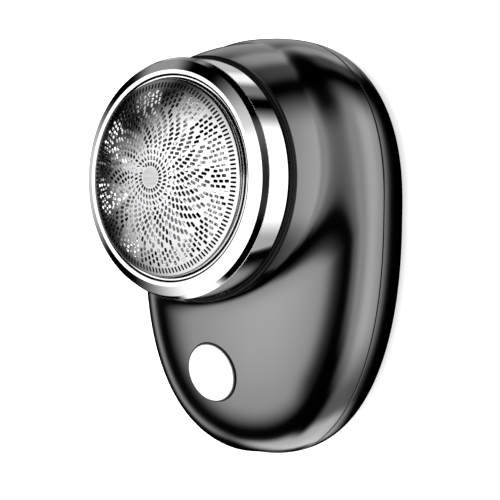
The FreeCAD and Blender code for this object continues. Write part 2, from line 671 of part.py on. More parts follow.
nodes = {
    "front_shell": make_front_shell(middle_body),
    "back_cover": make_back_cover(middle_body),
    "case_gasket": make_case_gasket(),
    "case_screws": group([screw(CASE_HEAD_R, CASE_HEAD_T, CASE_SCREW_R, CASE_SCREW_TIP_Z - CASE_SEAT_Z,
                                x, y, CASE_SEAT_Z) for x, y in case_screw_points()]),
    "neck_ring": make_neck_ring(),
    "head_magnets": group(around(cylinder(MAGNET_R, NECK_Z - MAGNET_T, NECK_Z, MAGNET_CIRCLE_R, 0),
                                 MAGNETS, MAGNET_START)),
    "shaft_seal": tube(DECK_HOLE_R, COUPLING_R + RUNNING_GAP, DECK_Z, NECK_Z),
    "motor_can": make_motor_can(),
    "motor_plate": make_motor_plate(),
    "plate_screws": group(around(screw(SMALL_HEAD_R, SMALL_HEAD_T, SMALL_SCREW_R, PLATE_SCREW_LENGTH,
                                       PLATE_SCREW_CIRCLE_R, 0, PLATE_Z[0]),
                                 PLATE_SCREWS, PLATE_SCREW_START)),
    "motor_screws": group(around(screw(SMALL_HEAD_R, SMALL_HEAD_T, SMALL_SCREW_R, MOTOR_SCREW_LENGTH,
                                       MOTOR_SCREW_CIRCLE_R, 0, PLATE_Z[1], -1), 2)),
    "motor_shaft": cylinder(SHAFT_R, MOTOR_Z[0] + MOTOR_T, SHAFT_TOP_Z),
    "motor_rotor": tube(ROTOR_R, SHAFT_R, MOTOR_Z[0] + ROTOR_INSET, MOTOR_Z[1] - ROTOR_INSET),
    "drive_coupling": make_drive_coupling(),
    "drive_spring": make_drive_spring(),
    "drive_spindle": make_spindle(),
    "battery": make_battery(),
    "battery_pad": make_battery_pad(),
    "circuit_board": make_circuit_board(),
    "board_screws": group([screw(SMALL_HEAD_R, SMALL_HEAD_T, SMALL_SCREW_R, BOARD_SCREW_LENGTH,
                                 side * BOARD_POST[0], BOARD_POST[1], BOARD_Z) for side in (-1, 1)]),
    "usb_socket": make_usb_socket(),
    "switch_body": make_switch_body(),
    "switch_plunger": make_switch_plunger(),
    "button_cap": make_button_cap(),
    "button_seal": make_button_seal(),
    "collar_ring": make_collar(),
    "head_frame": make_head_frame(),
    "head_base": make_head_base(),
    "strike_ring": tube(STRIKE_R[1], STRIKE_R[0], BASE_Z, BASE_Z + STRIKE_T),
    "foil": make_foil(),
    "foil_ring": make_foil_ring(),
    "cutter_blades": group(blade_list),
    "cutter_carrier": make_cutter_carrier(blade_list),
}

os.makedirs("parts", exist_ok=True)
for name, shape in nodes.items():
    shape.exportStep("parts/" + name + ".step")
    print(name, len(shape.Solids), round(shape.Volume, 1), shape.isValid())
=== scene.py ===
import math
import bpy
import numpy as np
from mathutils import Matrix, Vector
from mathutils.geometry import delaunay_2d_cdt


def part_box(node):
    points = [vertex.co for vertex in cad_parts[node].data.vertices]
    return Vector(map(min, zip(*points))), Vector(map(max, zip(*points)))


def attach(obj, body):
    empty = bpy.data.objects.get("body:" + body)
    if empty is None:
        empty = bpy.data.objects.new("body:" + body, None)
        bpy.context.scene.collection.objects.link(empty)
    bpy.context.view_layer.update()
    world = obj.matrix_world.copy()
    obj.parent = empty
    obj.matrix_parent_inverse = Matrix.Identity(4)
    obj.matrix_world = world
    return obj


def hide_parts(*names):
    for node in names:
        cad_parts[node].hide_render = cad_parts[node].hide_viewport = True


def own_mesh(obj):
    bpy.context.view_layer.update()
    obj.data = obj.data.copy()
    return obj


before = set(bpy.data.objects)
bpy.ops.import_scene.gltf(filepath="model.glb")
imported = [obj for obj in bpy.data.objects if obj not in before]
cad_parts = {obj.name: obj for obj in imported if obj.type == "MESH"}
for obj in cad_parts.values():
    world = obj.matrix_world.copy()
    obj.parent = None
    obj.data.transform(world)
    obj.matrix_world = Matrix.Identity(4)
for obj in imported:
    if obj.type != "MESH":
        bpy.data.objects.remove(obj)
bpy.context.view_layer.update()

# --- Camera ---
# A long lens on the shaver's right, level with its head, looking 43 degrees off the head axis.
# The body's long axis stands upright in the view.
MM = 0.001
LIP_RISE = 0.84
rim_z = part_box("head_frame")[1].z / MM - LIP_RISE
turn, lift, roll = (math.radians(a) for a in (42.716, -0.856, -0.741))
toward = np.array([math.sin(turn) * math.cos(lift), math.sin(lift), math.cos(turn) * math.cos(lift)])
side = np.cross([0.0, 1.0, 0.0], toward)
side /= np.linalg.norm(side)
above = np.cross(toward, side)
right = math.cos(roll) * side - math.sin(roll) * above
above = math.sin(roll) * side + math.cos(roll) * above
distance, view_width = 645.9, 78.22
rim = np.array([0.0, 0.0, rim_z])
aim = rim + right * 11.93 - above * 11.26
place = rim + toward * distance
back_axis = (place - aim) / np.linalg.norm(place - aim)
right -= back_axis * (right @ back_axis)
right /= np.linalg.norm(right)
above = np.cross(back_axis, right)
camera = bpy.data.objects.new("camera", bpy.data.cameras.new("camera"))
bpy.context.scene.collection.objects.link(camera)
camera.data.sensor_width = 36.0
camera.data.lens = camera.data.sensor_width * distance / view_width
camera.data.clip_start, camera.data.clip_end = 0.05, 20.0
turned_to = Matrix([list(row) for row in np.stack([right, above, back_axis], axis=1)]).to_4x4()
camera.matrix_world = Matrix.Translation(Vector(place) * MM) @ turned_to
bpy.context.scene.camera = camera
bpy.context.scene.view_settings.view_transform = "Standard"


# --- Studio ---
# A pale table, and a dome of soft boxes with dark flags between them, as round glossy metal is
# lit: one large box overhead, a low one all round the table, black between the two.
class Wire:
    """A shader value in one node tree; arithmetic on it adds Math nodes."""

    def __init__(self, tree, socket=None):
        self.tree, self.socket = tree, socket

    def node(self, kind, inputs=None, out=0, **settings):
        made = self.tree.nodes.new(kind)
        for name, value in settings.items():
            setattr(made, name, value)
        for name, value in (inputs or {}).items():
            if isinstance(value, Wire):
                self.tree.links.new(value.socket, made.inputs[name])
            else:
                made.inputs[name].default_value = value
        return Wire(self.tree, made.outputs[out] if made.outputs else None)

    def math(self, operation, *others, clamp=False):
        values = dict(enumerate((self, *others)))
        return self.node("ShaderNodeMath", values, operation=operation, use_clamp=clamp)

    def __add__(self, other):
        return self.math("ADD", other)

    def __mul__(self, other):
        return self.math("MULTIPLY", other)

    def __sub__(self, other):
        return self.math("SUBTRACT", other)

    def __rsub__(self, other):
        return self.math("MULTIPLY", -1.0).math("ADD", other)

    __radd__ = __add__
    __rmul__ = __mul__

    def step(self, low, high):
        """0 below low, 1 above high, eased between; falls instead of rising when low > high."""
        first, last, start, end = (low, high, 0.0, 1.0) if low < high else (high, low, 1.0, 0.0)
        return self.node("ShaderNodeMapRange",
                         {"Value": self, "From Min": first, "From Max": last, "To Min": start, "To Max": end},
                         interpolation_type="SMOOTHSTEP")

    def between(self, low, high, soft):
        """1 between two values, eased to 0 over soft on either side."""
        return self.step(low - soft, low + soft) * self.step(high + soft, high - soft)


world = bpy.data.worlds.new("studio")
bpy.context.scene.world = world
world.use_nodes = True
world.node_tree.nodes.clear()
sky = Wire(world.node_tree)
direction = sky.node("ShaderNodeTexCoord", out="Generated")
split = sky.node("ShaderNodeSeparateXYZ", {0: direction}).socket.node
x, y, z = (Wire(sky.tree, split.outputs[i]) for i in range(3))
height = z.math("ARCSINE") * (180 / math.pi)
bearing = y.math("ARCTAN2", x) * (180 / math.pi)
near_side = height.step(7.0, 37.0) * 1.3 + height.step(30.0, 88.0) * 0.55
near_side = near_side * (1.0 - bearing.between(-62.0, 6.0, 12.0) * height.step(44.0, 18.0) * 0.8)
far_side = (height + ((bearing - 100.0) * 0.3).math("MAXIMUM", -8.0)).step(44.0, 70.0) * 1.9
light = near_side + (far_side - near_side) * bearing.between(4.0, 168.0, 6.0)
SOFT_BOXES = [  # bearing from, to, softness; height from, to, softness; strength
    (-40.0, 58.0, 16.0, -54.0, -18.0, 8.0, 1.05),
    (-46.0, 50.0, 14.0, -54.0, -33.0, 8.0, 0.75),
    (-24.0, 42.0, 12.0, -22.0, -6.0, 5.0, 0.5),
    (-131.0, -97.0, 9.0, -54.0, -14.0, 7.0, 1.85),
    (-97.0, -80.0, 9.0, -54.0, -26.0, 6.0, 1.85),
    (-80.0, -45.0, 10.0, -54.0, -26.0, 7.0, 0.42),
    (-200.0, -138.0, 12.0, -18.0, -8.0, 6.0, 0.75),
    (164.0, 200.0, 10.0, -18.0, -8.0, 6.0, 0.75),
    (86.0, 102.0, 5.0, -52.0, -24.0, 6.0, 0.22),
    (104.0, 122.0, 6.0, -56.0, -25.0, 5.0, 1.0),
    (122.0, 158.0, 7.0, -58.0, -30.0, 8.0, 0.55),
    (130.0, 152.0, 6.0, 8.0, 26.0, 5.0, 0.3),
]
for begin, end, turn_soft, under, over, tilt_soft, strength in SOFT_BOXES:
    across = bearing.between(begin, end, turn_soft)
    light = light + across * height.between(under, over, tilt_soft) * strength
# the wall behind the table is pale; the boxes and flags stay out of sight, off to the sides
BACKDROP = 0.98
seen = sky.node("ShaderNodeLightPath", out="Is Camera Ray")
shade = sky.node("ShaderNodeBackground", {"Color": light + (BACKDROP - light) * seen, "Strength": 1.0})
sky.node("ShaderNodeOutputWorld", {"Surface": shade})

FLOOR_HALF = 3.0
floor_mesh = bpy.data.meshes.new("table_top")
signs = ((-1, -1), (1, -1), (1, 1), (-1, 1))
floor_mesh.from_pydata([(a * FLOOR_HALF, b * FLOOR_HALF, 0.0) for a, b in signs], [], [(0, 1, 2, 3)])
floor = bpy.data.objects.new("table_top", floor_mesh)
bpy.context.scene.collection.objects.link(floor)
floor.visible_glossy = False
floor_finish = bpy.data.materials.new("table_white")
floor_finish.use_nodes = True
floor_shader = floor_finish.node_tree.nodes["Principled BSDF"]
floor_shader.inputs["Base Color"].default_value = (0.9, 0.9, 0.9, 1)
floor_shader.inputs["Roughness"].default_value = 0.9
floor_shader.inputs["Specular IOR Level"].default_value = 0.0
floor_shader.inputs["Emission Color"].default_value = (1, 1, 1, 1)
floor_shader.inputs["Emission Strength"].default_value = 0.62
floor_mesh.materials.append(floor_finish)
lamp = bpy.data.objects.new("overhead_lamp", bpy.data.lights.new("overhead_lamp", "AREA"))
lamp.data.shape, lamp.data.size, lamp.data.energy = "DISK", 1.2, 9.0
lamp.location = (0.1, 0.1, 0.9)
lamp.visible_glossy = False
bpy.context.scene.collection.objects.link(lamp)

# --- Front shell ---
# One moulding in polished dark gunmetal plate: an egg-shaped front that runs up into a round
# neck. It ends at the parting line; the button well and the charging mouth are cut through it.
BACK_DEPTH, NECK_RISE, NECK_R = 9.7, 15.8, 19.4
WIDE_Y, HEAD_END, FOOT_END, HALF_WIDTH = -5.18, 28.0, 38.55, 22.68
CREST_Y, CREST_RISE = -10.13, 15.25
NECK_FOOT_SIDE, NECK_FOOT_END, BLEND = 20.44, 22.19, 2.73
BACK_TAPER, BACK_CENTRE_Y = 0.328, -8.0
SEAM_LOW, SEAM_TOP = 8.1, 8.4
WALL = 1.2
AROUND = 400
crest_z = BACK_DEPTH


def quarter(part, first, second):
    """A superellipse quarter: 1 at the middle, falling to 0 where part reaches 1."""
    return np.clip(1.0 - np.minimum(np.abs(part), 1.0) ** first, 0.0, 1.0) ** (1.0 / second)


def outside(x, y, z):
    """Below 0 inside the front of the body. The egg is a superellipse across, whose width and
    rise follow superellipses along y; the turret is a flared cylinder; the two run together
    over a blend width."""
    from_wide = y - WIDE_Y
    end = np.where(from_wide >= 0, HEAD_END, FOOT_END)
    power = np.where(from_wide >= 0, 2.38, 2.33)
    width = np.maximum(HALF_WIDTH * quarter(from_wide / end, power, power), 1e-3)
    reach = np.where(y >= CREST_Y, 32.95, 33.6)
    rise = np.maximum(CREST_RISE * quarter((y - CREST_Y) / reach, 3.147, 2.144), 1e-3)
    level = (np.abs(x) / width) ** 1.929 + (np.abs(z) / rise) ** 2.362
    level = level + 100.0 * np.maximum(np.abs(from_wide) - end, 0.0)
    front = (np.minimum(level, 100.0) ** (1 / 2.4) - 1.0) * np.sqrt(x * x + y * y + z * z)
    radius = np.hypot(x, y)
    foot = NECK_FOOT_SIDE + (NECK_FOOT_END - NECK_FOOT_SIDE) * (y / np.maximum(radius, 1e-6)) ** 2
    flare = foot - (foot - NECK_R) * np.clip(z / NECK_RISE, 0.0, 1.2) ** 2.24
    turret = (radius - flare) * 0.95
    near = np.maximum(BLEND - np.abs(front - turret), 0.0) / BLEND
    return np.minimum(front, turret) - near * near * BLEND / 4.0


def skin(angle, z):
    """Point of the body's outside in one direction, at one height. Above the crest it is found
    by halving along the ray; below it the crest's outline shrinks towards the flat back."""
    angle, z = np.broadcast_arrays(np.asarray(angle, float), np.asarray(z, float))
    over = np.clip(z - crest_z, 0.0, None)
    low, high = np.full(angle.shape, 6.0), np.full(angle.shape, 48.0)
    for _ in range(34):
        middle = (low + high) / 2
        out = outside(middle * np.cos(angle), middle * np.sin(angle), over) > 0
        low, high = np.where(out, low, middle), np.where(out, middle, high)
    drop = np.clip((crest_z - z) / BACK_DEPTH, 0.0, 1.0)
    shrink = 1.0 - BACK_TAPER * (1.0 - quarter(drop, 2.51, 3.555))
    along = BACK_CENTRE_Y + (low * np.sin(angle) - BACK_CENTRE_Y) * shrink
    return np.stack([low * np.cos(angle) * shrink, along, z], axis=-1)


def slope(points):
    """Outward normal of the body above the crest, from the shape's own slope."""
    step = 0.01
    parts = []
    for axis in range(3):
        offset = np.zeros(3)
        offset[axis] = step
        ahead, behind = points + offset - [0, 0, crest_z], points - offset - [0, 0, crest_z]
        parts.append(outside(*ahead.T) - outside(*behind.T))
    normal = np.stack(parts, -1)
    return normal / np.linalg.norm(normal, axis=1, keepdims=True)


def grid_normals(points, closed):
    """Normals of a grid of points from its central differences; first index runs round."""
    across = np.roll(points, -1, 0) - np.roll(points, 1, 0) if closed else np.gradient(points, axis=0)
    along = np.gradient(points, axis=1)
    normals = np.cross(along, across)
    return normals / np.maximum(np.linalg.norm(normals, axis=-1, keepdims=True), 1e-12)


def strip_faces(rows, columns, closed):
    """Quads of a grid whose first index may close on itself."""
    i, j = np.meshgrid(np.arange(rows if closed else rows - 1), np.arange(columns - 1), indexing="ij")
    a, b = i * columns + j, (i + 1) % rows * columns + j
    return np.stack([a, b, b + 1, a + 1], -1).reshape(-1, 4)


def put(name, points, faces, corner_normals, material, body, lining=None):
    """Makes the mesh from points in millimetres, faces and one normal for each face corner. A
    lining is a second material and the number of the face it starts at."""
    mesh = bpy.data.meshes.new(name)
    mesh.from_pydata((points * MM).tolist(), [], [list(f) for f in faces])
    mesh.polygons.foreach_set("use_smooth", np.ones(len(mesh.polygons), bool))
    mesh.materials.append(material)
    if lining:
        mesh.materials.append(lining[0])
        mesh.polygons.foreach_set("material_index", (np.arange(len(faces)) >= lining[1]).astype(np.int32))
    mesh.normals_split_custom_set(np.asarray(corner_normals).tolist())
    piece = bpy.data.objects.new(name, mesh)
    bpy.context.scene.collection.objects.link(piece)
    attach(piece, body)
    return piece


def thicken(points, normals, faces, wall, rounding, steps=3):
    """Closes an open sheet: an inner copy one wall further in, and round each open edge a
    quarter round, a straight wall and the way back. Returns points, faces, corner normals and
    how many faces belong to the outside and its rounded edges."""
    faces = [tuple(int(v) for v in f) for f in faces]
    count = len(points)
    sizes = np.array([len(f) for f in faces])
    flat = np.concatenate([np.asarray(f) for f in faces])
    starts = np.concatenate([[0], np.cumsum(sizes)[:-1]])
    after = np.arange(len(flat)) + 1
    after[starts + sizes - 1] = starts
    head, tail = flat, flat[after]
    key, back = head * count + tail, tail * count + head
    loose = ~np.isin(key, back)
    head, tail = head[loose], tail[loose]
    following = np.full(count, -1)
    following[head] = tail
    previous = np.full(count, -1)
    previous[tail] = head
    rim = np.unique(head)
    tangent = points[following[rim]] - points[previous[rim]]
    outward = np.cross(tangent, normals[rim])
    outward /= np.maximum(np.linalg.norm(outward, axis=1, keepdims=True), 1e-12)
    turns = np.linspace(0, math.pi / 2, steps + 1)[1:] if rounding else np.array([])
    rings, ring_normals = [], []
    for angle in turns:
        rings.append(points[rim] + outward * rounding * math.sin(angle)
                     - normals[rim] * rounding * (1 - math.cos(angle)))
        ring_normals.append(normals[rim] * math.cos(angle) + outward * math.sin(angle))
    if rings:
        rings.append(rings[-1] - normals[rim] * (wall - rounding))
    inner = points - normals * wall
    everything = np.concatenate([points, inner] + rings)
    slot_of = np.full(count, -1)
    slot_of[rim] = np.arange(len(rim))
    base = 2 * count
    levels = [rim] + [base + k * len(rim) + np.arange(len(rim)) for k in range(len(rings))]
    levels.append(count + rim)
    one, two = slot_of[tail], slot_of[head]
    level_normals = [normals[rim]] + ring_normals
    bands, band_corners = [], []
    for k in range(len(levels) - 1):
        bands.append(np.stack([levels[k][one], levels[k][two], levels[k + 1][two], levels[k + 1][one]], -1))
        n0 = n1 = outward
        if k < len(ring_normals):
            n0, n1 = level_normals[k], level_normals[k + 1]
        band_corners.append(np.stack([n0[one], n0[two], n1[two], n1[one]], 1).reshape(-1, 3))
    turned_back = [f[::-1] for f in faces]
    inner_faces = [tuple(v + count for v in f) for f in turned_back]
    shown = len(ring_normals)
    quads = [[tuple(q) for q in band.tolist()] for band in bands]
    face_list = faces + sum(quads[:shown], [])
    outer_count = len(face_list)
    face_list = face_list + sum(quads[shown:], []) + inner_faces
    corner = [normals[flat]] + band_corners + [-normals[np.concatenate([np.asarray(f) for f in turned_back])]]
    return everything, face_list, np.concatenate(corner), outer_count


def cut_hole(points, normals, faces, columns, angle_at, level_at, window, loop, loop_normals):
    """Cuts a loop out of the grid: the cells of a window are taken out and the window is filled
    again with triangles between its frame, its grid points and the loop. Returns points,
    normals, the quads left of the grid and the triangles."""
    a0, a1, b0, b1 = window
    rows = len(angle_at)
    corner_id = faces.min(axis=1)
    cell_row, cell_column = corner_id // columns, corner_id % columns
    gone = (cell_row >= a0) & (cell_row < a1) & (cell_column >= b0) & (cell_column < b1)
    kept = faces[~gone]
    i, j = np.meshgrid(np.arange(a0, a1 + 1), np.arange(b0, b1 + 1), indexing="ij")
    grid_ids = (i % rows * columns + j).reshape(-1)
    flat = np.stack([i.reshape(-1), j.reshape(-1)], -1).astype(float)
    spots = np.stack([np.interp(loop[0], angle_at, np.arange(rows)),
                      np.interp(-loop[1], -level_at, np.arange(columns))], -1)
    middle = spots.mean(0)
    reach = spots - middle
    order = np.argsort(np.arctan2(reach[:, 1], reach[:, 0]))
    from_middle = flat - middle
    at = np.arctan2(from_middle[:, 1], from_middle[:, 0])
    loop_at, loop_reach = np.arctan2(reach[order, 1], reach[order, 0]), np.hypot(*reach[order].T)
    edge = np.interp(at, loop_at, loop_reach, period=2 * math.pi)
    border = (i.reshape(-1) == a0) | (i.reshape(-1) == a1) | (j.reshape(-1) == b0) | (j.reshape(-1) == b1)
    stay = (np.hypot(*from_middle.T) > edge * 1.06 + 0.25) | border
    ids = np.concatenate([grid_ids[stay], len(points) + np.arange(len(spots))])
    flat_all = np.concatenate([flat[stay], spots])
    first = stay.sum()
    spot_area = (spots[:, 0] * np.roll(spots[:, 1], -1) - np.roll(spots[:, 0], -1) * spots[:, 1]).sum()
    hole = [tuple(first + np.arange(len(spots))[:: 1 if spot_area > 0 else -1])]
    made = delaunay_2d_cdt([Vector(p) for p in flat_all.tolist()], [], hole, 0, 1e-7)
    new_faces, face_from, vert_from = made[2], made[5], made[3]
    ids_of = np.array([v[0] for v in vert_from])
    fill = np.array([f for f, source in zip(new_faces, face_from) if not source])
    fill = ids[ids_of[fill]]
    every = np.concatenate([points, loop[2]])
    every_normals = np.concatenate([normals, loop_normals])
    corners = every[fill]
    facing = np.cross(corners[:, 1] - corners[:, 0], corners[:, 2] - corners[:, 0])
    wrong = (facing * every_normals[fill[:, 0]]).sum(1) < 0
    fill[wrong] = fill[wrong][:, ::-1]
    return every, every_normals, kept, fill


def finish(name, colour, metallic=0.0, rough=0.4, **constants):
    """A Principled material; constants go to its own sockets. Returns it, its shader and a wire
    that reads Object coordinates in metres."""
    material = bpy.data.materials.new(name)
    material.use_nodes = True
    shader = material.node_tree.nodes["Principled BSDF"]
    shader.inputs["Base Color"].default_value = (*colour, 1.0)
    shader.inputs["Metallic"].default_value = metallic
    shader.inputs["Roughness"].default_value = rough
    for socket, value in constants.items():
        shader.inputs[socket.replace("_", " ")].default_value = value
    return material, shader, Wire(material.node_tree).node("ShaderNodeTexCoord", out="Object")


def vary(material, shader, coordinates, socket, low, high, size, detail=2.0):
    """Lets one socket wander between two values in soft patches of a size in metres."""
    noise = coordinates.node("ShaderNodeTexNoise",
                             {"Vector": coordinates, "Scale": 1 / size, "Detail": detail})
    ranged = noise.node("ShaderNodeMapRange", {"Value": noise, "From Min": 0.3, "From Max": 0.7,
                                               "To Min": low, "To Max": high})
    material.node_tree.links.new(ranged.socket, shader.inputs[socket])
    return noise


def grain(material, shader, coordinates, size, strength, distance=0.00002):
    """A fine bump, as of moulding texture or paint."""
    noise = coordinates.node("ShaderNodeTexNoise",
                             {"Vector": coordinates, "Scale": 1 / size, "Detail": 3.0})
    bump = noise.node("ShaderNodeBump", {"Height": noise, "Strength": strength, "Distance": distance})
    material.node_tree.links.new(bump.socket, shader.inputs["Normal"])


gunmetal, gunmetal_shader, spot = finish("gunmetal_plate", (0.205, 0.205, 0.207), 1.0, 0.12)
vary(gunmetal, gunmetal_shader, spot, "Roughness", 0.11, 0.15, 0.012)

angles = np.linspace(-math.pi, math.pi, AROUND + 1)[:-1] + math.pi / AROUND
SHELL_ROUND = 0.12
levels = np.concatenate([crest_z + NECK_RISE * (1 - np.linspace(0, 1, 96) ** 1.6),
                         np.linspace(crest_z, SEAM_TOP + SHELL_ROUND, 9)[1:]])
levels[0] = crest_z + NECK_RISE - 0.004
shell_points = skin(angles[:, None], levels[None, :])
shell_points[:, 0, :2] = NECK_R * np.stack([np.cos(angles), np.sin(angles)], -1)
shell_normals = grid_normals(shell_points, True)
if (shell_normals[..., :2] * shell_points[..., :2]).sum() < 0:
    shell_normals = -shell_normals
shell_faces = strip_faces(AROUND, len(levels), True)
shell_points, shell_normals = shell_points.reshape(-1, 3), shell_normals.reshape(-1, 3)
over_crest = shell_points[:, 2] > crest_z + 0.02
shell_normals[over_crest] = slope(shell_points[over_crest])
test = shell_faces[len(shell_faces) // 3]
way = np.cross(shell_points[test[1]] - shell_points[test[0]], shell_points[test[2]] - shell_points[test[0]])
if way @ shell_normals[test[0]] < 0:
    shell_faces = shell_faces[:, ::-1]

# the button well: where a cylinder on the button's axis leaves the skin
BUTTON_Y, BUTTON_TILT, WELL_R = -30.6, math.radians(14.5), 4.85
low, high = 0.0, NECK_RISE
for _ in range(40):
    middle = (low + high) / 2
    out = outside(np.array(0.0), np.array(BUTTON_Y), np.array(middle)) > 0
    low, high = (low, middle) if out else (middle, high)
button_at = np.array([0.0, BUTTON_Y, crest_z + low])
button_out = np.array([0.0, -math.sin(BUTTON_TILT), math.cos(BUTTON_TILT)])
button_up = np.array([0.0, math.cos(BUTTON_TILT), math.sin(BUTTON_TILT)])
circle = np.linspace(0, 2 * math.pi, 97)[:-1]


def on_skin(radius):
    """Points of the skin on a circle round the button's axis."""
    start = button_at + radius * (np.cos(circle)[:, None] * [1.0, 0, 0] + np.sin(circle)[:, None] * button_up)
    near, far = np.full(len(circle), -4.0), np.full(len(circle), 4.0)
    for _ in range(36):
        mid = (near + far) / 2
        at = start + mid[:, None] * button_out
        out = outside(at[:, 0], at[:, 1], at[:, 2] - crest_z) > 0
        near, far = np.where(out, near, mid), np.where(out, mid, far)
    return start + near[:, None] * button_out


def window_round(loop):
    """First and last row and column of the grid cells round a loop of points, with a margin."""
    bearings = np.arctan2(loop[:, 1], loop[:, 0])
    rows = np.searchsorted(angles, [bearings.min(), bearings.max()]) + [-6, 6]
    top, bottom = (int(np.argmin(np.abs(levels - level))) for level in (loop[:, 2].max(), loop[:, 2].min()))
    return rows[0], rows[1], top - 6, min(bottom + 6, len(levels) - 1)


well = on_skin(WELL_R + SHELL_ROUND)
shell_points, shell_normals, shell_faces, well_fill = cut_hole(
    shell_points, shell_normals, shell_faces, len(levels), angles, levels,
    window_round(well), (np.arctan2(well[:, 1], well[:, 0]), well[:, 2], well), slope(well))

# the charging mouth: a round-ended slot through the lower end, where the plug goes in
MOUTH_W, MOUTH_H, MOUTH_Z = 9.54, 3.86, 10.77
half_turn = np.linspace(-math.pi / 2, math.pi / 2, 17)
end_r, end_x = MOUTH_H / 2 + SHELL_ROUND, (MOUTH_W - MOUTH_H) / 2
right_end = np.stack([end_x + end_r * np.cos(half_turn), MOUTH_Z + end_r * np.sin(half_turn)], -1)
flat_x = np.linspace(end_x, -end_x, 10)[1:-1]
top_side = np.stack([flat_x, np.full(8, MOUTH_Z + end_r)], -1)
mouth_half = np.concatenate([right_end, top_side])
mouth_flat = np.concatenate([mouth_half, [0, 2 * MOUTH_Z] - mouth_half])
mouth_y = np.full(len(mouth_flat), -42.6)
for _ in range(8):
    mouth = skin(np.arctan2(mouth_y, mouth_flat[:, 0]), mouth_flat[:, 1])
    mouth_y = mouth[:, 1]
mouth_at = np.arctan2(mouth[:, 1], mouth[:, 0])
mouth_across = skin(mouth_at + 0.01, mouth[:, 2]) - skin(mouth_at - 0.01, mouth[:, 2])
mouth_up = skin(mouth_at, mouth[:, 2] + 0.05) - skin(mouth_at, mouth[:, 2] - 0.05)
mouth_normals = np.cross(mouth_across, mouth_up)
mouth_normals /= np.linalg.norm(mouth_normals, axis=1, keepdims=True)
shell_points, shell_normals, shell_faces, mouth_fill = cut_hole(
    shell_points, shell_normals, shell_faces, len(levels), angles, levels,
    window_round(mouth), (mouth_at, mouth[:, 2], mouth), mouth_normals)
shell_faces = shell_faces.tolist() + well_fill.tolist() + mouth_fill.tolist()
# near-black: the unplated inside walls of the mouldings and the seal's lip, and painted shade on the chrome
# walls down in the gaps round the foil
black_and_gap_shade, gap_shade_shader, spot = finish("plain_black_and_painted_gap_shade", (0.006, 0.006, 0.006), 0.0, 0.5)
grain(black_and_gap_shade, gap_shade_shader, spot, 0.0004, 0.3)
*front_mesh, plated = thicken(shell_points, shell_normals, shell_faces, WALL, SHELL_ROUND)
front = put("front_shell_skin", *front_mesh, gunmetal, "handle", (black_and_gap_shade, plated))
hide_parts("front_shell")

# --- Back cover ---
# A shallow bowl in the same plate, screwed on from behind; the shaver lies on its flat middle.
cover_levels = np.concatenate([np.linspace(SEAM_LOW - SHELL_ROUND, 5.0, 12),
                               BACK_DEPTH - BACK_DEPTH * np.sin(np.linspace(0.505, math.pi / 2, 60))[1:]])
cover_points = skin(angles[:, None], cover_levels[None, :])
cover_normals = grid_normals(cover_points, True)
if (cover_normals[..., :2] * cover_points[..., :2]).sum() < 0:
    cover_normals = -cover_normals
cover_faces = strip_faces(AROUND, len(cover_levels), True)
cover_points, cover_normals = cover_points.reshape(-1, 3), cover_normals.reshape(-1, 3)
test = cover_faces[7]
way = np.cross(cover_points[test[1]] - cover_points[test[0]], cover_points[test[2]] - cover_points[test[0]])
if way @ cover_normals[test[0]] < 0:
    cover_faces = cover_faces[:, ::-1]
foot_ids = np.arange(AROUND) * len(cover_levels) + len(cover_levels) - 1
outline = cover_points[foot_ids]
made = delaunay_2d_cdt([Vector(p) for p in outline[:, :2].tolist()], [], [tuple(range(AROUND))], 1, 1e-7)
flat_faces = foot_ids[np.array([v[0] for v in made[3]])[np.array(made[2])]]
corners = cover_points[flat_faces]
facing = np.cross(corners[:, 1] - corners[:, 0], corners[:, 2] - corners[:, 0])[:, 2]
flat_faces[facing > 0] = flat_faces[facing > 0][:, ::-1]
cover_normals[foot_ids] = (0.0, 0.0, -1.0)
*cover_mesh, plated = thicken(cover_points, cover_normals, cover_faces.tolist() + flat_faces.tolist(),
                              WALL, SHELL_ROUND)
cover = put("back_cover_skin", *cover_mesh, gunmetal, "handle", (black_and_gap_shade, plated))
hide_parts("back_cover")


# --- Neck ring ---
# A black gloss ring on the end of the neck; the shaving head stands on it.
def rounded(corners, steps=5):
    """A closed outline with each corner (radius, height, rounding) turned into an arc."""
    corners = np.asarray(corners, float)
    points = []
    for k, (r, h, size) in enumerate(corners):
        here = np.array([r, h])
        before, after = corners[k - 1, :2] - here, corners[(k + 1) % len(corners), :2] - here
        before, after = before / np.linalg.norm(before), after / np.linalg.norm(after)
        half = math.acos(np.clip(before @ after, -1, 1)) / 2
        if size <= 0 or half > math.pi / 2 - 0.01:
            points.append(here[None])
            continue
        reach = size / math.tan(half)
        middle = here + (before + after) / np.linalg.norm(before + after) * size / math.sin(half)
        start, end = here + before * reach - middle, here + after * reach - middle
        t = np.linspace(0, 1, steps + 1)[:, None]
        arc = start * (1 - t) + end * t
        arc = arc / np.linalg.norm(arc, axis=1, keepdims=True) * size + middle
        points.append(arc)
    return np.concatenate(points)


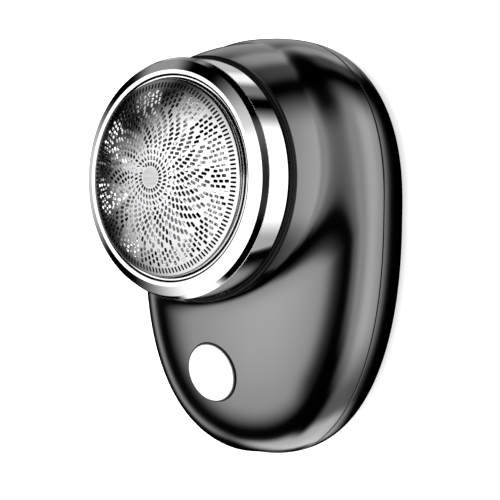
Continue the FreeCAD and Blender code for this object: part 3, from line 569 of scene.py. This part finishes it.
def lathe(name, outline, material, body, node=None, segments=256, place_at=None):
    """Turns a closed outline of (radius, height) about the head axis, or about the axis given by
    place_at. Corner normals lean to the longer of the two sides that meet."""
    turns = np.linspace(0, 2 * math.pi, segments + 1)[:-1]
    n = len(outline)
    sides = np.roll(outline, -1, 0) - outline
    lengths = np.maximum(np.linalg.norm(sides, axis=1, keepdims=True), 1e-9)
    area = (outline[:, 0] * np.roll(outline[:, 1], -1) - np.roll(outline[:, 0], -1) * outline[:, 1]).sum()
    outward = np.stack([sides[:, 1], -sides[:, 0]], -1) / lengths * (1 if area > 0 else -1)
    bend_by = np.arccos(np.clip((outward * np.roll(outward, 1, 0)).sum(1), -1, 1))
    mean = outward * lengths ** 2 + np.roll(outward * lengths ** 2, 1, 0)
    mean /= np.maximum(np.linalg.norm(mean, axis=1, keepdims=True), 1e-12)
    sharp = bend_by > math.radians(35)
    start_n = np.where(sharp[:, None], outward, mean)
    end_n = np.where(np.roll(sharp, -1)[:, None], outward, np.roll(mean, -1, 0))
    ring = np.stack([np.cos(turns), np.sin(turns)], -1)

    def spin(flat):
        return np.concatenate([ring[:, None, :] * flat[None, :, :1],
                               np.broadcast_to(flat[None, :, 1:], (segments, len(flat), 1))], -1)

    points = spin(outline).reshape(-1, 3)
    i, j = np.meshgrid(np.arange(segments), np.arange(n), indexing="ij")
    i2, j2 = (i + 1) % segments, (j + 1) % n
    quads = np.stack([i * n + j, i2 * n + j, i2 * n + j2, i * n + j2], -1).reshape(-1, 4)
    first, last = spin(start_n), spin(end_n)
    corner_normals = np.stack([first[i, j], first[i2, j], last[i2, j], last[i, j]], 2).reshape(-1, 3)
    if area < 0:
        quads, corner_normals = quads[:, ::-1], corner_normals.reshape(-1, 4, 3)[:, ::-1].reshape(-1, 3)
    quads = [tuple(q) for q in quads.tolist()]
    if place_at is not None:
        origin, axis_x, axis_y, axis_z = place_at
        basis = np.stack([axis_x, axis_y, axis_z])
        points, corner_normals = points @ basis + origin, corner_normals @ basis
    piece = put(name, points, quads, corner_normals, material, body)
    if node:
        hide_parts(node)
    return piece


neck_z = crest_z + NECK_RISE
gloss_black, gloss_shader, spot = finish("black_gloss", (0.004, 0.004, 0.004), 0.0, 0.16,
                                         Specular_IOR_Level=0.12)
vary(gloss_black, gloss_shader, spot, "Roughness", 0.13, 0.2, 0.004)
RING_OUT, RING_IN, RING_STEP, RING_TOP = 19.5, 17.0, 19.15, neck_z + 1.15
lathe("neck_ring_turned", rounded([(RING_IN, neck_z, 0.05), (RING_OUT, neck_z, 0.1),
                                   (RING_OUT, neck_z + 0.45, 0.12), (RING_STEP, neck_z + 0.6, 0.08),
                                   (RING_STEP, RING_TOP, 0.2), (RING_IN, RING_TOP, 0.1)]),
      gloss_black, "handle", "neck_ring")

# --- Neck deck ---
# The floor of the neck under the head, moulded with the shell; the drive comes up through its
# middle hole. It is turned plain, without the pockets that hold the three magnets.
satin_black, satin_shader, spot = finish("satin_black", (0.03, 0.03, 0.032), 0.0, 0.45)
grain(satin_black, satin_shader, spot, 0.0003, 0.25)
DECK_HOLE, DECK_R, DECK_T = 5.0, 18.1, 1.6
deck_foot, deck_top = neck_z - DECK_T, neck_z - 0.02
lathe("neck_deck", rounded([(DECK_HOLE, deck_foot, 0.1), (DECK_R, deck_foot, 0.1), (DECK_R, deck_top, 0.05),
                            (DECK_HOLE, deck_top, 0.1)]), satin_black, "handle")

# --- Collar ---
# A mirror-chromed tube round the head, gripped to pull the head off.
chrome, chrome_shader, spot = finish("mirror_chrome", (0.93, 0.93, 0.94), 1.0, 0.05)
vary(chrome, chrome_shader, spot, "Roughness", 0.035, 0.07, 0.006)
COLLAR_R, COLLAR_BORE = 19.0, 18.0
collar_low, collar_high = rim_z - 5.63, rim_z - 1.15
lathe("collar_turned", rounded([(COLLAR_BORE, collar_low, 0.1), (COLLAR_R, collar_low, 0.22),
                                (COLLAR_R, collar_high, 0.06), (COLLAR_BORE, collar_high, 0.05)]),
      chrome, "head", "collar_ring")

# --- Head frame ---
# The chromed bezel pressed into the collar: a dark-looking steep bevel, a broad sloping face
# and a narrow lip round the foil.
RIM_R, LIP_R, LIP_BORE, SKIRT_BORE = 18.5, 16.96, 16.3, 17.6
bezel_foot, ledge, skirt_foot = collar_high + 0.03, rim_z - 1.6, rim_z - 4.4
lathe("bezel_turned", rounded([
    (COLLAR_R - 0.02, bezel_foot, 0.03), (RIM_R, rim_z, 0.08), (LIP_R, rim_z + LIP_RISE, 0.03),
    (LIP_BORE + 0.02, rim_z + LIP_RISE, 0.08), (LIP_BORE, ledge, 0.1), (SKIRT_BORE, ledge, 0.05),
    (SKIRT_BORE, skirt_foot, 0.05), (COLLAR_BORE, skirt_foot, 0.05), (COLLAR_BORE, bezel_foot, 0.02)]),
      chrome, "head", "head_frame")


def paint_gap_shade(name, where):
    """Gives a turned piece's faces the near-black material where a test of radius and height holds: painted
    shade on walls that stand down in a gap.
    """
    mesh = bpy.data.objects[name].data
    mesh.materials.append(black_and_gap_shade)
    middles = np.empty(len(mesh.polygons) * 3)
    mesh.polygons.foreach_get("center", middles)
    middles = middles.reshape(-1, 3) / MM
    dark = where(np.hypot(middles[:, 0], middles[:, 1]), middles[:, 2])
    mesh.polygons.foreach_set("material_index", dark.astype(np.int32))


# painted shade: the bezel's chromed bore below its lip goes near-black, where the gap round the foil lies in
# shade
paint_gap_shade("bezel_turned", lambda radius, z: (radius < 16.4) & (z < rim_z + 0.72))

# --- Foil ring ---
# A plated ring that carries the foil; its thin upright edge shows between bezel and foil.
RING_BORE, RING_R, RING_WALL = 14.95, 17.2, (15.7, 16.05)
ring_foot, ring_seat, ring_top = rim_z - 2.8, rim_z - 1.8, rim_z + 0.66
lathe("foil_ring_turned", rounded([
    (RING_BORE, ring_foot, 0.05), (RING_R, ring_foot, 0.05), (RING_R, ring_seat, 0.05),
    (RING_WALL[1], ring_seat, 0.05), (RING_WALL[1], ring_top, 0.08), (RING_WALL[0] + 0.04, ring_top, 0.08),
    (RING_WALL[0], ring_seat, 0.05), (RING_BORE, ring_seat, 0.02)]),
      chrome, "foil_unit", "foil_ring")
# painted shade: the plated ring goes near-black below its thin top edge, down in the gap between bezel and
# foil
paint_gap_shade("foil_ring_turned", lambda radius, z: z < rim_z + 0.56)

# --- Foil ---
# Thin polished steel pressed into a shallow dome. Fine slots are etched through it: three rows
# round the middle, then a spiral lattice whose slots straighten outwards, and a comb at the edge.
FOIL_T, DOME_R, FOIL_TOP = 0.06, 33.8, rim_z + 5.47
FOIL_EDGE, SHOULDER = 15.3, 0.45
MIDDLE_ROWS, LATTICE_ROWS, OUTER_ROWS = 3, 10, 6
LATTICE_NUMBER, OUTER_NUMBER, COMB_R, COMB_NUMBER = 36, 48, 14.52, 132
MIDDLE_SLOT, OUTER_SLOT, COMB_SLOT, LATTICE_WIDTH = (0.7, 0.37), (0.68, 0.5), (0.88, 0.36), 0.49
EDGE_STEPS = 256


def dome(flat):
    """Height of the foil over the plane: a ball's cap."""
    radius = np.hypot(flat[:, 0], flat[:, 1])
    return FOIL_TOP - DOME_R + np.sqrt(DOME_R ** 2 - radius ** 2)


def slots_of_row(radius, number, first, slant, length, width):
    """Corner points of a row's slots: a rounded bar in each, the first one turned by an angle
    from straight down, all leaning by slant from straight out."""
    at = first - math.pi / 2 + np.arange(number) * 2 * math.pi / number
    t = (np.arange(12) + 0.5) * math.pi / 6
    bar = np.stack([np.sign(np.cos(t)) * np.abs(np.cos(t)) ** 0.45 * length / 2,
                    np.sign(np.sin(t)) * np.abs(np.sin(t)) ** 0.45 * width / 2], -1)
    way = at + slant
    along = np.stack([np.cos(way), np.sin(way)], -1)[:, None, :]
    across = np.stack([-np.sin(way), np.cos(way)], -1)[:, None, :]
    centre = radius * np.stack([np.cos(at), np.sin(at)], -1)[:, None, :]
    return centre + bar[None, :, :1] * along + bar[None, :, 1:] * across


rows = []
for k in range(MIDDLE_ROWS):
    row_r, number = 2.08 + 0.97 * k, 24 + 6 * k
    first, lean = math.radians(-4.3 + 2.0 * k), math.radians(9 + 8 * k)
    rows.append(slots_of_row(row_r, number, first, lean, *MIDDLE_SLOT))
for k in range(LATTICE_ROWS):
    row_r = 4.9 + 0.72 * k - 0.0105 * k ** 2
    lean = math.radians(46 - 5.7 * (row_r - 4.9))
    length = min(0.55 + 0.17 * (row_r - 4.9), 0.9)
    rows.append(slots_of_row(row_r, LATTICE_NUMBER, math.radians(2.94 * k), -lean, length, LATTICE_WIDTH))
for k in range(OUTER_ROWS):
    row_r = 11.4 + 0.43 * k
    first, lean = math.radians(1.0 + 3.85 * k), math.radians(10.0 - 2.0 * k)
    rows.append(slots_of_row(row_r, OUTER_NUMBER, first, -lean, *OUTER_SLOT))
rows.append(slots_of_row(COMB_R, COMB_NUMBER, 0.0, 0.0, *COMB_SLOT))
slots = np.concatenate(rows)
edge_turn = np.linspace(0, 2 * math.pi, EDGE_STEPS + 1)[:-1]
edge = FOIL_EDGE * np.stack([np.cos(edge_turn), np.sin(edge_turn)], -1)
disc = [[[0.0, 0.0]]]
for disc_ring_r, every in ((0.4, 32), (0.8, 16), (1.2, 8), (1.5, 8)):
    disc.append(disc_ring_r * np.stack([np.cos(edge_turn[::every]), np.sin(edge_turn[::every])], -1))
disc = np.concatenate(disc)
flat = np.concatenate([slots.reshape(-1, 2), edge, disc])
holes = np.arange(slots.shape[0] * slots.shape[1]).reshape(slots.shape[:2])
outer_edge = np.arange(len(edge)) + slots.shape[0] * slots.shape[1]
borders = np.stack([outer_edge, np.roll(outer_edge, -1)], -1)
made = delaunay_2d_cdt([Vector(p) for p in flat.tolist()], borders.tolist(), holes.tolist(), 0, 1e-8)
source = np.array([v[0] for v in made[3]])
web = np.array([f for f, inside in zip(made[2], made[5]) if not inside])
sheet_flat = np.array([list(v) for v in made[0]])
sheet_points = np.concatenate([sheet_flat, dome(sheet_flat)[:, None]], -1)
sheet_normals = sheet_points - np.array([0.0, 0.0, FOIL_TOP - DOME_R])
sheet_normals /= np.linalg.norm(sheet_normals, axis=1, keepdims=True)
corners = sheet_points[web]
facing = np.cross(corners[:, 1] - corners[:, 0], corners[:, 2] - corners[:, 0])[:, 2]
web[facing < 0] = web[facing < 0][:, ::-1]
# the shoulder and the side wall carry on from the edge circle
edge_ids = np.array([int(np.argmin(np.hypot(*(sheet_flat - e).T))) for e in edge])
edge_z = dome(edge)[0]
edge_lean = math.asin(FOIL_EDGE / DOME_R)
bend = np.linspace(edge_lean, math.pi / 2, 9)[1:]
centre_r = FOIL_EDGE - SHOULDER * math.sin(edge_lean)
centre_z = edge_z - SHOULDER * math.cos(edge_lean)
bend_way = np.stack([np.sin(bend), np.cos(bend)], -1)
profile = np.concatenate([[centre_r, centre_z] + SHOULDER * bend_way,
                          [[centre_r + SHOULDER, centre_z - 1.0], [centre_r + SHOULDER, ring_seat]]])
profile_n = np.concatenate([bend_way, [[1.0, 0.0], [1.0, 0.0]]])
ring = np.stack([np.cos(edge_turn), np.sin(edge_turn)], -1)
wall_points = np.concatenate([ring[:, None] * profile[None, :, :1],
                              np.broadcast_to(profile[None, :, 1:], (EDGE_STEPS, len(profile), 1))], -1)
wall_normals = np.concatenate([ring[:, None] * profile_n[None, :, :1],
                               np.broadcast_to(profile_n[None, :, 1:], (EDGE_STEPS, len(profile), 1))], -1)
first_id = len(sheet_points)
new_ids = first_id + np.arange(EDGE_STEPS * len(profile)).reshape(EDGE_STEPS, -1)
wall_ids = np.concatenate([edge_ids[:, None], new_ids], 1)
following_ids = np.roll(wall_ids, -1, 0)
wall_faces = np.stack([wall_ids[:, :-1], wall_ids[:, 1:], following_ids[:, 1:], following_ids[:, :-1]], -1)
wall_faces = wall_faces.reshape(-1, 4)
all_points = np.concatenate([sheet_points, wall_points.reshape(-1, 3)])
all_normals = np.concatenate([sheet_normals, wall_normals.reshape(-1, 3)])
polished, polished_shader, spot = finish("polished_steel", (0.62, 0.62, 0.63), 1.0, 0.14)
vary(polished, polished_shader, spot, "Roughness", 0.11, 0.19, 0.003)
foil_mesh = thicken(all_points, all_normals, web.tolist() + wall_faces.tolist(), FOIL_T, 0.0)[:3]
foil = put("foil_pressed", *foil_mesh, polished, "foil_unit")
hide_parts("foil")

# a plain brushed disc is pressed on the middle of the foil
brushed, brushed_shader, spot = finish("brushed_disc", (0.5, 0.5, 0.5), 1.0, 0.3)
streaks = spot.node("ShaderNodeMapping", {"Vector": spot, "Scale": (300.0, 6000.0, 300.0)})
streak = streaks.node("ShaderNodeTexNoise", {"Vector": streaks, "Scale": 1.0, "Detail": 2.0})
brushed.node_tree.links.new((streak * 0.35 + 0.3).socket, brushed_shader.inputs["Base Color"])
DISC_R, DISC_PROUD, DISC_SUNK = 1.55, 0.02, 0.05
disc_r = np.linspace(0.001, DISC_R, 9)
disc_z = FOIL_TOP - DOME_R + np.sqrt(DOME_R ** 2 - disc_r ** 2)
disc_outline = np.concatenate([np.stack([disc_r, disc_z + DISC_PROUD], -1),
                               np.stack([disc_r, disc_z - DISC_SUNK], -1)[::-1]])
lathe("foil_disc", disc_outline, brushed, "foil_unit", segments=64)

# --- Cutter dish ---
# The polished hollow between the blades of the cutter, seen through the slots. Eight dark arms
# of painted shadow swirl over its colour where the blades' shadows fall, and a painted glow with
# painted glints between them stands in for the light that the blades' flanks throw back out.
DISH_IN, DISH_OUT, DISH_RISE, DISH_T, ARMS = 3.4, 13.7, 2.45, 0.3, 8
dish_r = np.linspace(DISH_IN, DISH_OUT, 24)
dish_top = rim_z + 0.05 + DISH_RISE * (dish_r / DISH_OUT) ** 2
dish = np.concatenate([np.stack([dish_r, dish_top], -1), np.stack([dish_r, dish_top - DISH_T], -1)[::-1]])
mirror, mirror_shader, spot = finish("steel_with_painted_blade_shadow_and_glow", (0.86, 0.86, 0.86), 1.0, 0.12)
parts = spot.node("ShaderNodeSeparateXYZ", {0: spot}).socket.node
east, north = (Wire(mirror.node_tree, parts.outputs[i]) for i in range(2))
reach_out = (east * east + north * north).math("SQRT")
swirl = (north.math("ARCTAN2", east) * (ARMS / (2 * math.pi)) + reach_out * 55.6 + 1.76).math("FRACT")
# painted shade: 0 on the eight swirling arms of painted blade shadow, 1 between them
clear_of_blade_shadow = 1.0 - swirl.between(0.05, 0.55, 0.1)
# painted glints: small soft spots of painted light on the dish
painted_glints = spot.node("ShaderNodeTexNoise", {"Vector": spot, "Scale": 2400.0, "Detail": 1.0}).step(0.44, 0.58)
# the painted blade shadows darken the base colour; the painted glow and glints go into emission
mirror.node_tree.links.new((clear_of_blade_shadow * 0.9 + 0.01).socket, mirror_shader.inputs["Base Color"])
mirror.node_tree.links.new((clear_of_blade_shadow * painted_glints).socket, mirror_shader.inputs["Emission Color"])
# the dish glows though it is no lamp: painted light standing in for what the blades throw back
mirror_shader.inputs["Emission Strength"].default_value = 0.55
vary(mirror, mirror_shader, spot, "Roughness", 0.08, 0.16, 0.002)
lathe("cutter_dish", dish, mirror, "cutter")

# --- Button ---
# A round cap in pearl silver on the button's own axis, with a finely turned edge.
pearl, pearl_shader, spot = finish("pearl_silver", (0.78, 0.78, 0.79), 0.0, 0.3,
                                   Coat_Weight=0.3, Coat_Roughness=0.08)
vary(pearl, pearl_shader, spot, "Roughness", 0.26, 0.34, 0.001)
LIP_IN, LIP_OUT, LIP_FOOT, LIP_TOP = 4.64, 4.84, -1.4, -0.1
lip = rounded([(LIP_IN, LIP_FOOT, 0.02), (LIP_OUT, LIP_FOOT, 0.02), (LIP_OUT, LIP_TOP, 0.05),
               (LIP_IN, LIP_TOP, 0.05)])
lip_place = (button_at, np.array([1.0, 0, 0]), button_up, button_out)
lathe("button_seal_lip", lip, black_and_gap_shade, "handle", segments=160, place_at=lip_place)
CAP_R, FLANGE_R, STEM_R, PROUD = 4.6, 5.2, 2.0, 0.12
stem_end, flange_foot, flange_top, shoulder = -4.1, -2.25, -1.75, PROUD - 0.02
cap = rounded([(0.001, stem_end, 0), (STEM_R, stem_end, 0.1), (STEM_R, flange_foot, 0.1),
               (FLANGE_R, flange_foot, 0.05), (FLANGE_R, flange_top, 0.1), (CAP_R, flange_top, 0.05),
               (CAP_R, shoulder, 0.16), (CAP_R - 0.4, shoulder, 0.2), (0.001, PROUD, 0)])
lathe("button_turned", cap, pearl, "button", segments=160, place_at=lip_place)
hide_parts("button_cap")

# --- Pieces that keep their built shape ---
# Everything inside: motor, cell, board, drive and fixings. Each gets the finish of its stock.
steel, steel_shader, spot = finish("ground_steel", (0.62, 0.62, 0.63), 1.0, 0.28)
vary(steel, steel_shader, spot, "Roughness", 0.2, 0.36, 0.0015)
zinc, zinc_shader, spot = finish("dark_zinc", (0.3, 0.3, 0.31), 1.0, 0.35)
vary(zinc, zinc_shader, spot, "Roughness", 0.28, 0.42, 0.001)
nickel, nickel_shader, spot = finish("nickel_plate", (0.75, 0.73, 0.7), 1.0, 0.18)
vary(nickel, nickel_shader, spot, "Roughness", 0.14, 0.24, 0.001)
copper, copper_shader, spot = finish("lacquered_copper", (0.62, 0.3, 0.14), 1.0, 0.35)
vary(copper, copper_shader, spot, "Roughness", 0.28, 0.42, 0.001)
rubber, rubber_shader, spot = finish("soft_rubber", (0.02, 0.02, 0.02), 0.0, 0.75)
grain(rubber, rubber_shader, spot, 0.0002, 0.4)
felt, felt_shader, spot = finish("wool_felt", (0.1, 0.1, 0.1), 0.0, 0.95)
grain(felt, felt_shader, spot, 0.00015, 0.9)
foam, foam_shader, spot = finish("foam_tape", (0.16, 0.16, 0.17), 0.0, 0.9)
grain(foam, foam_shader, spot, 0.0004, 0.8)
acetal, acetal_shader, spot = finish("acetal", (0.78, 0.77, 0.73), 0.0, 0.4)
grain(acetal, acetal_shader, spot, 0.0005, 0.15)
pouch, pouch_shader, spot = finish("laminated_pouch", (0.66, 0.67, 0.7), 0.8, 0.35)
grain(pouch, pouch_shader, spot, 0.0012, 0.5)
mask_green, mask_shader, spot = finish("solder_mask", (0.015, 0.13, 0.05), 0.0, 0.3)
grain(mask_green, mask_shader, spot, 0.0006, 0.2)
KEPT = {
    "case_gasket": rubber, "case_screws": zinc, "head_magnets": nickel, "shaft_seal": felt,
    "motor_can": steel, "motor_plate": satin_black, "plate_screws": zinc, "motor_screws": zinc,
    "motor_shaft": steel, "motor_rotor": copper, "drive_coupling": acetal, "drive_spring": steel,
    "drive_spindle": acetal, "battery": pouch, "battery_pad": foam, "circuit_board": mask_green,
    "board_screws": zinc, "usb_socket": nickel, "switch_body": satin_black, "switch_plunger": acetal,
    "button_seal": rubber, "head_base": satin_black, "strike_ring": steel, "cutter_blades": steel,
    "cutter_carrier": satin_black,
}
for node, material in KEPT.items():
    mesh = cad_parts[node].data
    mesh.materials.clear()
    mesh.materials.append(material)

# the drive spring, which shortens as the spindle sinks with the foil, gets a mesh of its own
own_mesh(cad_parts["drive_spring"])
